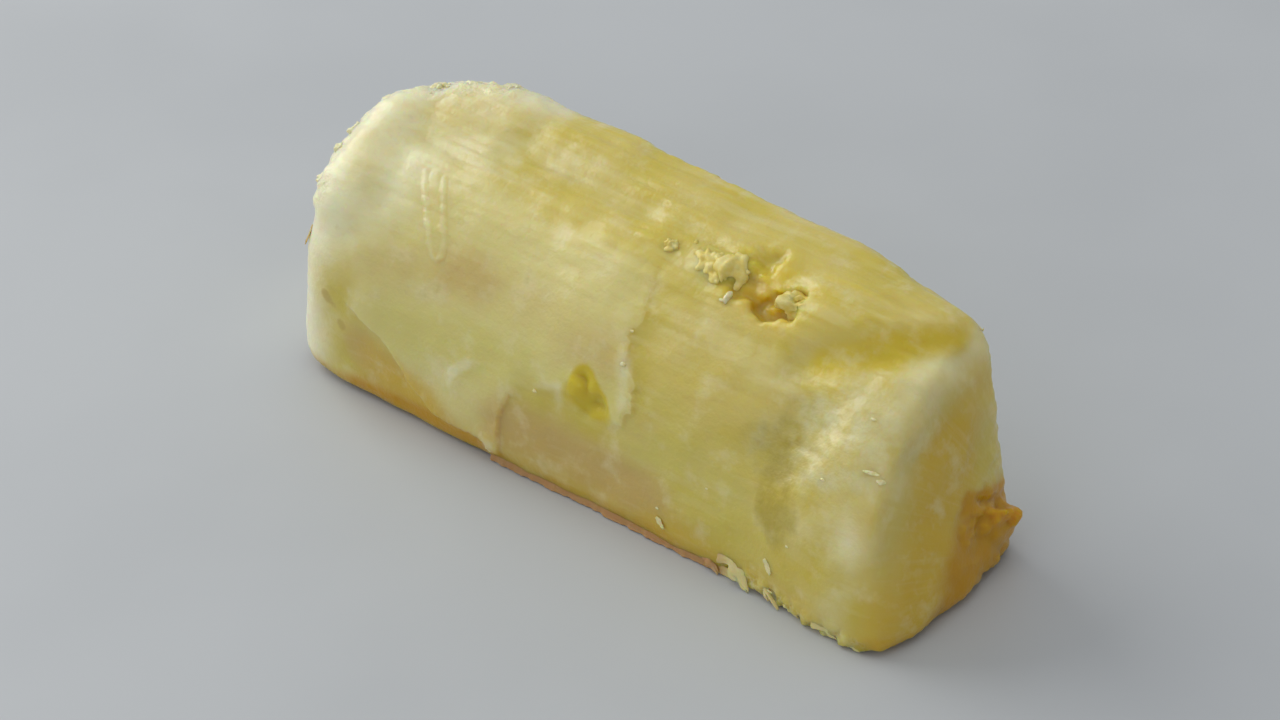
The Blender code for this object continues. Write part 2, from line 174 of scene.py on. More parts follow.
# The flesh: a quarter of the peeled root, split lengthwise along its strands and cut off at both ends. Its
# round outer side faces the camera.
BASE_WIDTH = 31
HEIGHT = 36
CELLS = (12, 4, 4)
ROUNDING = 4
RINGS = (-55.4, -53.3, -48.6, -39, -26, -13, 0, 13, 25, 35.5, 42.5, 46, 47.7)
RING_SCALES = (0.72, 0.9, 0.985, 1, 1, 1, 1, 1, 1, 1, 1, 0.99, 0.95)
SECTION_MIDDLE = Vector((0.42, 0.42))
WIDTH_ALONG = ((-54, 1), (-20, 1.04), (20, 1.02), (48, 0.98))
HEIGHT_ALONG = ((-54, 0.94), (-15, 0.99), (20, 0.98), (48, 0.9))
ROUNDNESS_ALONG = ((-54, 3.7), (-15, 2.6), (48, 2.25))
FRONT_ALONG = ((-54, 0.9), (-20, 0.2), (20, 0.4), (48, 2.3))
LEFT_DOME = 1.2
LEFT_LEAN = 4.2
LEFT_LEAN_FROM = -26
RIGHT_BULGE = 3.5
BULGE_ACROSS = 0.45
BULGE_REACH = 0.6
RIGHT_LEAN = 4
RIGHT_LEAN_FROM = 25
BASE_STEPS = (1, 0.9, 0.55, 0.12, 0)
BACK_STEPS = (0, 0.12, 0.45, 0.88, 1)
OUTER_ANGLES = (0, 9, 20, 32, 45, 58, 70, 81, 90)

# Large relief, worn places as (from, to, reach, how far the flesh stands out), and how far it has settled
SWELL = 0.7
SWELL_SIZE = 16
STRAND_DEPTH = 0.9
STRAND_LENGTH = 26
STRAND_WIDTH = 3.2
STRAND_MIDDLE = 0.5
SPLIT_FACING = (0.5, 0.9)
CUT_RIPPLE = 0.5
CUT_RIPPLE_SIZE = 5
CUT_FACING = (0.6, 0.9)
SOFT_MARKS = (
    ((31.9, -9.3, 24), (29, -12.5, 20), 6.5, -1.1),
    ((27, 2.5, 32.8), (39, 8, 32.6), 7, 1.2),
    ((28, -4.6, 29), (43.5, 7, 31.2), 4.2, -0.9),
    ((40, -9, 24), (41, -4, 28), 6, 0.6),
    ((-26, 5, 34.5), (-6, 4, 34.5), 6, -0.8),
    ((-47, -9, 29), (-49.5, 2, 32), 8.5, 2.5),
    ((-47, 6, 33), (-35, 13, 34.5), 9, 1.4),
    ((-44, 10, 34.5), (-18, 13, 35), 10, 1),
    ((-53, -8, 14), (-54, 6, 20), 9, -0.8),
    # the groove where the woody string was
    ((-40, 15.5, 0), (40, 15.5, 0), 4, -1.2),
)
LOWERED = 0.547

# The split tongue at the right end and the crack above it, and hollows as (middle, half sizes, turn,
# roughness): the pit in the round side, then the torn opening along the top
TONGUE = (
    (46, 1.5, 11.3), (48.4, 3.5, 10.4), (50.3, 7.5, 8.7), (50.6, 10.2, 7.2),
    (49.2, 11.6, 5.6), (49.4, 9, 2.4), (49, 3.5, 3.5), (44, 4, 9.6), (44, 10.5, 6),
    (44, 6, 3),
)
CRACK = (
    (52, 0.5, 13.4), (52, 0.5, 11.9), (52, 13.5, 8), (52, 13.5, 6.3),
    (43.5, 2.5, 12), (43, 13.5, 7.2),
)
PIT = (
    ((1.6, -14.6, 16.2), (3, 1.8, 1.9), 0, 0.35),
    ((-1, -13.8, 18.6), (1.7, 1.6, 2.5), 0, 0.3),
    ((-0.4, -14.9, 15.4), (3.8, 1.5, 2), 0, 0.3),
)
PIT_LUMP = ((-2.3, -12.9, 15.8), (1.6, 0.9, 2.4), 0, 0.3)
OPENING = (
    ((15.4, 0.2, 32.9), (3.8, 2.7, 2), -10, 0.5),
    ((20, -0.2, 32), (3.6, 2.9, 2.7), 20, 0.5),
    ((14.6, 4.2, 34.4), (4, 3, 1.6), 30, 0.5),
)
LUMPS = 1.7
SMALL_LUMPS = (0.12, 1 / 0.22, 0)
FLESH_VOXEL = 0.46


def only(piece):
    """Selects this piece alone and makes it the active one."""
    bpy.ops.object.select_all(action="DESELECT")
    piece.select_set(True)
    bpy.context.view_layer.objects.active = piece


def shaped_by(piece, kind, **settings):
    """Applies a modifier of this kind with these settings."""
    only(piece)
    step = piece.modifiers.new(kind.lower(), kind)
    for name, value in settings.items():
        setattr(step, name, value)
    bpy.ops.object.modifier_apply(modifier=step.name)


def cut_up(piece, kind, chosen, cuts=1):
    """Cuts those edges or faces of a piece that the function chosen says yes to, into equal parts."""
    only(piece)
    bpy.ops.object.mode_set(mode="EDIT")
    bpy.ops.mesh.select_mode(type=kind)
    bpy.ops.mesh.select_all(action="DESELECT")
    shape = bmesh.from_edit_mesh(piece.data)
    for part in shape.edges if kind == "EDGE" else shape.faces:
        part.select_set(chosen(part))
    bmesh.update_edit_mesh(piece.data)
    bpy.ops.mesh.subdivide(number_cuts=cuts)
    bpy.ops.object.mode_set(mode="OBJECT")


def runs_along(edge, axis):
    """Whether an edge runs along this axis."""
    run = edge.verts[1].co - edge.verts[0].co
    return abs(run[axis]) > 0.99 * run.length


def ease(value, low, high):
    """Rises smoothly from 0 at the low value to 1 at the high one, for numbers and arrays."""
    share = np.clip((value - low) / (high - low), 0, 1)
    return share * share * (3 - 2 * share)


def along(keys, x):
    """The value at this place, eased between (place, value) keys."""
    for (low, first), (high, last) in zip(keys, keys[1:]):
        if x <= high:
            return first + (last - first) * float(ease(x, low, high))
    return keys[-1][1]


def outer_point(angle, roundness):
    """Share of the width and of the height at this angle on the round outer side."""
    power = 2 / roundness
    slope = math.radians(angle)
    return Vector((max(math.cos(slope), 0) ** power, max(math.sin(slope), 0) ** power))


def section_point(across, up, roundness):
    """The cross-section at a grid place from 0 to 1 each way, spread between its four sides."""
    j, k = round(across * CELLS[1]), round(up * CELLS[2])
    base = Vector((BASE_STEPS[j], 0))
    top = outer_point(OUTER_ANGLES[CELLS[2] + j], roundness)
    front = outer_point(OUTER_ANGLES[k], roundness)
    back = Vector((0, BACK_STEPS[k]))
    corners = (
        (1 - across) * (1 - up) * Vector((1, 0))
        + (1 - across) * up * outer_point(OUTER_ANGLES[CELLS[2]], roundness)
        + across * up * Vector((0, 1))
    )
    return (1 - up) * base + up * top + (1 - across) * front + across * back - corners


def end_bulge(ring, across, up):
    """How far an end's own points stand out along the root, past the ring round that end."""
    if ring == 0:
        return -LEFT_DOME * 16 * across * (1 - across) * up * (1 - up)
    if ring == CELLS[0]:
        away = math.hypot(across - BULGE_ACROSS, up) / BULGE_REACH
        return RIGHT_BULGE * max(1 - away * away, 0)
    return 0


def cage_point(place):
    """Where a point of the gridded cube goes on the root's coarse form."""
    lengthwise, across, up = ((c + 1) / 2 for c in place)
    ring = round(lengthwise * CELLS[0])
    x = RINGS[ring]
    share = section_point(across, up, along(ROUNDNESS_ALONG, x))
    share = SECTION_MIDDLE + (share - SECTION_MIDDLE) * RING_SCALES[ring]
    lean = RIGHT_LEAN * share.y**2 * max((x - RIGHT_LEAN_FROM) / (RINGS[-1] - RIGHT_LEAN_FROM), 0)
    lean -= LEFT_LEAN * share.y * max((x - LEFT_LEAN_FROM) / (RINGS[0] - LEFT_LEAN_FROM), 0)
    width = BASE_WIDTH * along(WIDTH_ALONG, x)
    height = HEIGHT * along(HEIGHT_ALONG, x)
    front = -BASE_WIDTH / 2 - along(FRONT_ALONG, x)
    x += end_bulge(ring, across, up) - lean
    return Vector((x, front + width * (1 - share.x), height * share.y)) * MM


def rows_of(items, name):
    """One value of each item, as an array with three numbers a row."""
    values = np.zeros(len(items) * 3, np.float32)
    items.foreach_get(name, values)
    return values.reshape(-1, 3)


def points_of(piece):
    """The places, in millimetres, and the facings of a piece's points."""
    return rows_of(piece.data.vertices, "co") / MM, rows_of(piece.data.vertex_normals, "vector")


def move_to(piece, places):
    """Puts a piece's points at these places, in millimetres."""
    piece.data.vertices.foreach_set("co", (places * MM).astype(np.float32).ravel())
    piece.data.update()


def raise_by(piece, amounts):
    """Moves each point of a piece along its facing by its own amount, in millimetres."""
    places, facings = points_of(piece)
    move_to(piece, places + facings * amounts[:, None])


def lay_down(piece, lowered=0, floor=0):
    """Lowers a piece, and lifts what would be under the floor onto it."""
    places, _ = points_of(piece)
    places[:, 2] = np.maximum(places[:, 2] - lowered, floor)
    move_to(piece, places)


def distance_to(places, route):
    """How far each place is from a route, which goes straight from point to point."""
    route = np.array([tuple(point) for point in route], float)
    nearest = np.full(len(places), 1e9)
    for start, finish in zip(route, route[1:]):
        line = finish - start
        share = np.clip((places - start) @ line / max(line @ line, 1e-9), 0, 1)
        nearest = np.minimum(nearest, np.linalg.norm(places - start - share[:, None] * line, axis=1))
    return nearest


def bump(places, start, finish, reach):
    """1 on the line between two places, falling smoothly to 0 at this reach from it."""
    away = distance_to(places, (start, finish)) / reach
    return np.where(away < 1, (1 - away * away) ** 2, 0)


def marked(places, marks):
    """The sum of marks, each as (from, to, reach, strength), at each place."""
    out = np.zeros(len(places))
    for start, finish, reach, strength in marks:
        out += strength * bump(places, start, finish, reach)
    return out


def ripples(places, size, offset=0):
    """Smooth noise from -1 to 1 at each place, whose waves are this long along each axis."""
    scaled = places / np.array(size, float) + offset
    return np.array([noise.noise(p) for p in scaled.tolist()])


def split_share(facings, low, high):
    """How far each point faces the back or the underside, where the root is split."""
    return np.maximum(ease(facings[:, 1], low, high), ease(-facings[:, 2], low, high))


def relief(places, facings):
    """How far the flesh stands out at each place."""
    out = SWELL * ripples(places, SWELL_SIZE)
    strand = ripples(places, (STRAND_LENGTH, STRAND_WIDTH, STRAND_WIDTH))
    out -= STRAND_DEPTH * split_share(facings, *SPLIT_FACING) * (STRAND_MIDDLE + strand)
    out += CUT_RIPPLE * ease(facings[:, 0], *CUT_FACING) * ripples(places, CUT_RIPPLE_SIZE)
    return out + marked(places, SOFT_MARKS)


def linked(name, data):
    """Puts a new piece with this data into the scene and selects it alone."""
    made = bpy.data.objects.new(name, data)
    bpy.context.scene.collection.objects.link(made)
    only(made)
    return made


def mended(piece, command, **settings):
    """Runs a mesh command on the whole of a piece and turns all its faces outward."""
    bpy.ops.object.mode_set(mode="EDIT")
    bpy.ops.mesh.select_all(action="SELECT")
    command(**settings)
    bpy.ops.mesh.select_all(action="SELECT")
    bpy.ops.mesh.normals_make_consistent(inside=False)
    bpy.ops.object.mode_set(mode="OBJECT")
    return piece


def hull(places):
    """The smallest solid round these places."""
    mesh = bpy.data.meshes.new("hull")
    mesh.from_pydata([Vector(p) * MM for p in places], [], [])
    return mended(linked("hull", mesh), bpy.ops.mesh.convex_hull)


def uneven_ball(spot, turned, halves, detail, waves):
    """A ball at this spot, swollen by waves, each as (share, how many, how much the spot shifts it)."""
    made = added(bpy.ops.mesh.primitive_ico_sphere_add, subdivisions=detail, radius=1)
    for vert in made.data.vertices:
        swollen = 1 + sum(share * noise.noise(vert.co * many + spot * shift) for share, many, shift in waves)
        vert.co = (spot + turned @ (vert.co * halves) * swollen) * MM
    return made


def rough_ball(middle, halves, turn, rough):
    """A stretched ball with an uneven surface, to cut a hollow with."""
    turned = Matrix.Rotation(math.radians(turn), 3, "Z")
    return uneven_ball(Vector(middle), turned, Vector(halves), 5, ((rough, LUMPS, 1), SMALL_LUMPS))


def carve(piece, cutters, operation="DIFFERENCE"):
    """Cuts each cutter out of the piece, or joins it on."""
    for cutter in cutters:
        shaped_by(piece, "BOOLEAN", operation=operation, object=cutter, solver="EXACT")
        bpy.data.objects.remove(cutter, do_unlink=True)


def fused(name, pieces):
    """Joins closed shapes into the first of them, as one mesh of this name."""
    only(pieces[0])
    for other in pieces[1:]:
        other.select_set(True)
    bpy.ops.object.join()
    pieces[0].name = name
    return pieces[0]


def paint(piece, name, values):
    """Keeps a value from 0 to 1 for each point of a piece under this name, for its material."""
    layer = piece.data.attributes.new(name, "FLOAT", "POINT")
    layer.data.foreach_set("value", np.clip(values, 0, 1).astype(np.float32))


flesh = added(bpy.ops.mesh.primitive_cube_add, size=2)
for axis, cells in enumerate(CELLS):
    cut_up(flesh, "EDGE", lambda edge: runs_along(edge, axis), cells - 1)
for vert in flesh.data.vertices:
    vert.co = cage_point(vert.co)
shaped_by(flesh, "SUBSURF", levels=ROUNDING)
raise_by(flesh, relief(*points_of(flesh)))
lay_down(flesh, LOWERED)
only(flesh)
bpy.ops.object.duplicate()
bare = bpy.context.object
bare.name = "bare_form"

# What is cut into the flesh, a lump left standing in the pit, and what has split off
carve(flesh, [rough_ball(*hollow) for hollow in PIT + OPENING] + [hull(CRACK)])
carve(flesh, [rough_ball(*PIT_LUMP)], "UNION")
fused("boiled_flesh", [flesh, hull(TONGUE)])
shaped_by(flesh, "REMESH", mode="VOXEL", voxel_size=FLESH_VOXEL * MM)
shaped_by(flesh, "SMOOTH", factor=0.5, iterations=3)

# Fine relief: lumps of mush near the right end, fissures and strands on the split sides, grain all over
WATERY_MARKS = (
    ((30, -12, 20), (40, -10, 22), 10, 0.36),
    ((34, -9, 25), (43, -3, 28), 9, 0.36),
)
MUSH_MARKS = WATERY_MARKS + (
    ((13, 1, 33), (21, 1, 33), 7, 1),
    ((2, 2, 34), (12, 2, 34), 6, 0.6),
    ((46, 2, 12), (46, 12, 8), 6, 0.7),
    ((-49, -9, 28), (-50, 8, 32), 6, 0.8),
    ((-48, 10, 34), (-34, 14, 35), 6, 0.8),
)
RAGGED_MARKS = (
    ((49.5, 2, 9), (50.4, 10.5, 7), 4, 0.85),
    ((24, -15.6, 1.2), (46, -16.6, 1.2), 2.4, 1),
    ((47.5, -15, 1.2), (49.5, 10, 1.2), 2.4, 0.6),
)
TOP_FACING = (0.5, 0.85)
CRUMBLY_MARKS = (
    ((-49.5, -10, 27), (-51, 6, 32), 5, 1),
    ((-48.5, 7, 33.5), (-36, 14, 35), 5.5, 1),
    ((-30, 15, 33), (36, 15.5, 31), 3.5, 0.55),
    ((5, 2, 34), (12.5, 0.5, 33.5), 4, 0.4),
    ((20, 2.6, 33.5), (23, 3, 33.8), 3.5, 0.4),
    ((47, -2, 2), (47.5, 10, 14), 7, 0.35),
    ((26, -15.8, 1.4), (46, -16.6, 1.2), 2.6, 0.6),
)
# Its waves, as (how far they stand out, their length along each axis, offset)
WAVES = {
    "lumps": (0.336, (3.4, 2.4, 2.4), 0),
    "small_lumps": (0.12, (1.5, 1.1, 1.1), 4.2),
    "billows": (0.85, 2.1, 9.4),
    "small_billows": (0.425, 0.95, 3.3),
    "rags": (1, (1.9, 1.7, 1.7), 8.8),
    "small_rags": (0.5, 0.9, 6.3),
    "threads": (0.05, (9, 0.9, 0.9), 5.7),
    "bundles": (0.2, (15, 3.2, 3.2), 3.3),
    "cut_ripples": (0.08, (1.8, 2.4, 2.4), 1.7),
    "grain": (0.04, 1.3, 0),
    "swells": (0.16, 4.2, 2.9),
}
BILLOW_MIDDLE = 0.238
SPLIT_THREADS = 2
TOP_THREADS = 2.2
FISSURE_DEPTH = 0.85
FISSURE_WAVE = ((30, 2.7, 2.7), 7.3)
FISSURE_WIDTH = 0.13
FISSURE_PATCHES = ((26, 6, 6), 3.1)
FISSURE_FROM = (-0.05, 0.25)
FINE_SPLIT_FACING = (0.45, 0.8)
FINE_CUT_FACING = (0.6, 0.85)


def fissures(places, facings):
    """How deep the fissures between the strands are at each place, from 0 to 1."""
    fissure = np.clip(1 - np.abs(ripples(places, *FISSURE_WAVE)) / FISSURE_WIDTH, 0, 1)
    fissure *= ease(ripples(places, *FISSURE_PATCHES), *FISSURE_FROM)
    return fissure * split_share(facings, *FINE_SPLIT_FACING)


places, facings = points_of(flesh)
split = split_share(facings, *FINE_SPLIT_FACING)
top = ease(facings[:, 2], *TOP_FACING)
mush = np.clip(marked(places, MUSH_MARKS), 0, 1)
crumbly = np.clip(marked(places, CRUMBLY_MARKS), 0, 1)
wave = {name: height * ripples(places, *shape) for name, (height, *shape) in WAVES.items()}
out = mush * (wave["lumps"] + wave["small_lumps"]) - FISSURE_DEPTH * fissures(places, facings)
out += crumbly * (np.abs(wave["billows"]) + np.abs(wave["small_billows"]) - BILLOW_MIDDLE)
out += marked(places, RAGGED_MARKS) * (wave["rags"] + wave["small_rags"])
out += wave["threads"] * (1 + SPLIT_THREADS * split + TOP_THREADS * top) + wave["bundles"] * top
out += wave["cut_ripples"] * ease(np.abs(facings[:, 0]), *FINE_CUT_FACING) + wave["grain"] + wave["swells"]
raise_by(flesh, out)
lay_down(flesh)

# Where the flesh is painted in other colours, as (from, to, reach, strength). Pale is partly painted light;
# yellow, warm, amber, shade and pit are painted shade; tan is partly painted shade and reflection
ZONES = {
    # Partly painted light, on the lit left end and along the right end's rims; partly paler, crumbly starch
    "pale": (
        ((-55, -17, 5), (-53, -14, 25), 13, 0.4),
        ((-56, -7, 8), (-56, 10, 24), 20, 0.95),
        ((-50, -10, 28), (-50, 8, 33), 9, 0.85),
        ((-48, 10, 34), (-30, 14, 35), 8, 0.8),
        ((-46, -13, 24), (-39, -8, 30), 10, 0.6),
        ((-42, 0, 33), (-30, 2, 34), 9, 0.5),
        ((42.5, 2, 28.5), (44.5, 10, 29.5), 6, 0.6),
        ((43, -7, 25), (44.5, -3.5, 26.4), 5, 0.3),
        ((36, -8, 25), (42, -3, 28.2), 6, 0.25),
        ((40, -12, 19.5), (44, -11, 21), 5.5, 0.35),
        ((33, -15, 13), (42, -15, 15), 5.5, 0.35),
        ((42, -16, 4), (44.5, -14, 14), 5.5, 0.4),
        ((46.5, -6, 20), (48, 6, 22), 6, 0.35),
        ((13, -6, 29), (24, -7, 27), 5, 0.35),
    ),
    # Painted shade: the crease, by the torn opening, across the top, low on the front and on the right end
    "yellow_shade": (
        ((30, -2.6, 28.4), (36.3, 1.6, 30.4), 3.6, 1),
        ((36.3, 1.6, 30.4), (42.5, 7.5, 31.6), 3.6, 0.9),
        ((29.6, -8.6, 23), (32.8, -9.9, 21), 5.5, 0.35),
        ((13, 1.6, 32.6), (21.5, 1, 31), 6, 0.9),
        ((-18, -1, 33), (24, 3, 33.6), 7, 0.4),
        ((16, -15, 10), (36, -15.6, 7), 6, 0.4),
        ((45, -9, 15), (45.5, -2, 21), 5, 0.5),
    ),
    # Painted shade: the right end, away from the lamp, and low along the front
    "warm_shade": (
        ((48.5, -9, 5), (48, 0, 18), 11, 1),
        ((48, 2, 20), (47, 8, 26), 7, 0.6),
        ((12, -15, 2), (38, -16, 1.5), 5, 0.4),
        ((-38, -14.6, 8), (-28, -15.6, 4), 6, 0.6),
    ),
    # Partly painted shade and reflection: bands low on the round side and over the upper film
    "tan_shade_and_reflection": (
        ((-39, -15, 8), (-24, -15.8, 1.5), 6, 0.95),
        ((-13, -15.6, 7), (10, -15.2, 6), 8, 1),
        ((-40, -13, 20.5), (-22, -11.5, 25), 6.5, 0.36),
        ((-24, -11.5, 25), (2, -11, 23.5), 6.5, 0.32),
        ((-5, -13, 20.5), (1, -12.5, 21), 5, 0.25),
    ),
    "green": (
        ((8, -14.6, 12), (28, -15.6, 9), 6.5, 0.7),
        ((-3, -14, 17), (3, -14, 17), 5, 0.7),
        ((12, -12.5, 19), (24, -13.5, 15), 7, 0.4),
        ((-34, -15, 14), (-12, -15, 17), 8, 0.8),
        ((-44, -11, 25), (-40, -10, 26), 5, 0.4),
    ),
    # Painted shade and glow: the torn opening, the low left edge, the lower right end and the crack
    "amber_shade": (
        ((14.5, 0.8, 30.6), (20.5, 0.6, 30), 5, 0.5),
        ((-40, -14, 1.5), (-18, -15.5, 1), 4.4, 0.8),
        ((49.5, 3, 7), (49, 12, 5), 8.5, 1.3),
        ((50, -3, 4), (50, 4, 2), 6.5, 0.8),
        ((47.2, 2.3, 12), (47, 11, 8.2), 2.2, 1),
    ),
    "shade": (
        ((29.6, -11.6, 19.5), (31.2, -14.2, 13.5), 6, 0.95),
        ((29, -9.8, 21.5), (33.5, -10.2, 21.5), 5, 0.55),
        ((30, -7, 24.5), (29.5, -8, 23), 3.5, 0.35),
        ((30.5, -14, 14), (34, -15, 9.5), 5, 0.55),
        ((44, -12, 13), (45, -9, 8), 5, 0.35),
    ),
    # Painted shade: deep yellow in the pit's hollow
    "pit": (
        ((0.8, -12.9, 16.6), (-1, -12.9, 18.4), 3.5, 1.2),
        ((-3.2, -13.2, 15.6), (2.8, -13.4, 15), 3.4, 0.75),
    ),
}
# A painted glow round the foot and painted shade low down, both weaker on the pale foot at the front
BASE_GLOW = (0.3, 4.2)
LOW_WARM_SHADE = (1, 12)
WARM_SHADE_FROM = (-44, -30)
PALE_FOOT_FROM = (14, 28)
PALE_FOOT_TO = (44, 49)
FRONT_FACING = (0.1, 0.5)
CUT_PAINT_FACING = (0.55, 0.85)
GLOW_WAVE = ((5, 3, 3), 6.1)
# The most that the foot's painted glow and painted shade add, and the share that the pale foot takes away
FOOT_GLOW = (0.72, 0.6)
FOOT_WARM_SHADE = (0.42, 0.7)


def paint_zones(piece):
    """Paints all the zones on a piece, with a painted glow and painted shade low round its foot."""
    places, facings = points_of(piece)
    paint(piece, "split", split_share(facings, *FINE_SPLIT_FACING))
    paint(piece, "mush", marked(places, WATERY_MARKS))
    paint(piece, "crumbly", marked(places, CRUMBLY_MARKS))
    paint(piece, "top", ease(facings[:, 2], *TOP_FACING))
    paint(piece, "cut", ease(np.abs(facings[:, 0]), *CUT_PAINT_FACING))
    paint(piece, "deep", fissures(places, facings))
    glow = 1 - ease(places[:, 2] + 0.8 * ripples(places, *GLOW_WAVE), *BASE_GLOW)
    pale_foot = ease(places[:, 0], *PALE_FOOT_FROM) * (1 - ease(places[:, 0], *PALE_FOOT_TO))
    pale_foot *= ease(-facings[:, 1], *FRONT_FACING)
    low = (1 - ease(places[:, 2], *LOW_WARM_SHADE)) * ease(places[:, 0], *WARM_SHADE_FROM)
    more = {
        "amber_shade": FOOT_GLOW[0] * glow * (1 - FOOT_GLOW[1] * pale_foot),
        "warm_shade": FOOT_WARM_SHADE[0] * low * (1 - FOOT_WARM_SHADE[1] * pale_foot),
    }
    for name, marks in ZONES.items():
        paint(piece, name, marked(places, marks) + more.get(name, 0))


# The flesh's colours: the yellow, warm, shade and pit tones are painted shade, the amber painted shade and
# glow, the tan partly painted shade and reflection, and the cream and split colours partly painted light.
FLESH = (0.72, 0.6, 0.165, 1)
FLESH_DEEP = (0.68, 0.56, 0.09, 1)
CREAM = (0.93, 0.9, 0.6, 1)
YELLOW_SHADE = (0.72, 0.56, 0.04, 1)
WARM_SHADE = (0.71, 0.49, 0.05, 1)
AMBER_SHADE = (0.62, 0.33, 0.004, 1)
TAN_SHADE_AND_REFLECTION = (0.66, 0.48, 0.16, 1)
GREEN = (0.74, 0.67, 0.2, 1)
SHADE = (0.48, 0.37, 0.03, 1)
PIT_SHADE_COLOUR = (0.69, 0.54, 0.03, 1)
STARCH = (0.88, 0.83, 0.52, 1)
SPLIT = (0.82, 0.73, 0.33, 1)
RAY = (0.72, 0.6, 0.2, 1)
FILM = (0.79, 0.71, 0.29, 1)
FILM_EDGE = (0.9, 0.87, 0.58, 1)
WATERY = (0.75, 0.71, 0.38, 1)
MUSHY = (0.68, 0.6, 0.23, 1)
BROWN = (0.6, 0.45, 0.11, 1)
FLESH_IOR = 1.38
RAY_COUNT = 26
RAY_LENGTH = 14
RAY_BEND = 200
RING_RADIUS = 29.5
RING_WIDTH = 1.9
LIGHT_REACH = (1, 0.66, 0.24)
COAT_ROUGHNESS = 0.16
COAT_IOR = 1.34


def combined(first, second, operation="ADD"):
    """Two values joined by this operation."""
    inputs = {0: first, 1: second}
    return new_node(first.id_data, "ShaderNodeMath", inputs, operation=operation).outputs[0]


def product(value, *factors):
    """A value times each of the factors."""
    for factor in factors:
        value = combined(value, factor, "MULTIPLY")
    return value


def layered(colour, layers):
    """A colour with others laid over it in turn, each with one or more shares that are multiplied."""
    for tint, *shares in layers:
        colour = tinted(colour, tint, product(*shares))
    return colour


def zone(name, wobble, low, high, amount):
    """The painted zone of this name, with its border broken up by noise."""
    painted = new_node(wobble.id_data, "ShaderNodeAttribute", {}, attribute_name=name).outputs["Fac"]
    shaken = product(combined(wobble, 0.5, "SUBTRACT"), amount)
    return ranged(combined(painted, shaken), low, high)


def end_grain(tree):
    """The pattern of a cut end: rays from the root's axis outwards, and a ring under the round side."""
    where = new_node(tree, "ShaderNodeTexCoord", {}).outputs["Object"]
    x, y, z = new_node(tree, "ShaderNodeSeparateXYZ", {"Vector": where}).outputs
    across = combined(y, BASE_WIDTH / 2 * MM + SHIFT.y, "SUBTRACT")
    angle = combined(z, across, "ARCTAN2")
    away = combined(product(across, across), product(z, z))
    away = combined(away, 0.5, "POWER")
    polar = new_node(tree, "ShaderNodeCombineXYZ", {
        "X": product(angle, RAY_COUNT), "Y": product(away, 1 / (RAY_LENGTH * MM)),
        "Z": product(x, RAY_BEND),
    })
    ring = product(combined(away, RING_RADIUS * MM, "SUBTRACT"), 1 / (RING_WIDTH * MM))
    ring = ranged(combined(ring, 0, "ABSOLUTE"), 1, 0)
    return soft_noise(polar.outputs["Vector"], 3), ring


def wet_surface(shader, colour, roughness, depth, coat):
    """Makes a surface wet and translucent: light goes this many millimetres into it."""
    feed(shader, {
        "Base Color": colour, "Roughness": roughness, "IOR": FLESH_IOR,
        "Subsurface Weight": 1, "Subsurface Radius": LIGHT_REACH, "Subsurface Scale": depth * MM,
        "Coat Weight": coat, "Coat Roughness": COAT_ROUGHNESS, "Coat IOR": COAT_IOR,
    })


def stand_out(shader, *reliefs):
    """Fine relief: each is some values whose product is a height in millimetres."""
    heights = product(*reliefs[0])
    for more in reliefs[1:]:
        heights = combined(heights, product(*more))
    raised = new_node(shader.id_data, "ShaderNodeBump", {"Distance": MM, "Height": heights})
    feed(shader, {"Normal": raised.outputs["Normal"]})


def ride_on_root(piece, material):
    """Finishes a piece: its material, its place over the origin, smooth shading and its body."""
    piece.data.materials.clear()
    piece.data.materials.append(material)
    piece.data.transform(Matrix.Translation(SHIFT))
    piece.data.shade_smooth()
    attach(piece, "root")


boiled, tree, shader = new_finish("boiled_starchy_flesh")
broad = speckle(tree, 9, detail=3)
cloud = speckle(tree, 4.5, detail=4, roughness=0.6, offset=(4, 2, 7))
clots = speckle(tree, 3, detail=4, roughness=0.55)
small = speckle(tree, 2.2, detail=3)
fine = speckle(tree, 0.55)
strands = speckle(tree, 0.8, detail=3, longer=14)
bundles = speckle(tree, 3, detail=3, longer=11, roughness=0.6)
streaks = speckle(tree, 1.6, detail=3, longer=7, offset=(1, 5, 3))
rays, rings = end_grain(tree)
split_here = zone("split", small, 0.3, 0.8, 0.3)
mush_here = zone("mush", small, 0.1, 0.45, 0.35)
top_here = zone("top", small, 0.2, 0.9, 0.4)
cut_here = zone("cut", small, 0.3, 0.9, 0.2)
crumbly_here = zone("crumbly", small, 0.2, 0.8, 0.4)
blotches = product(cloud, small)

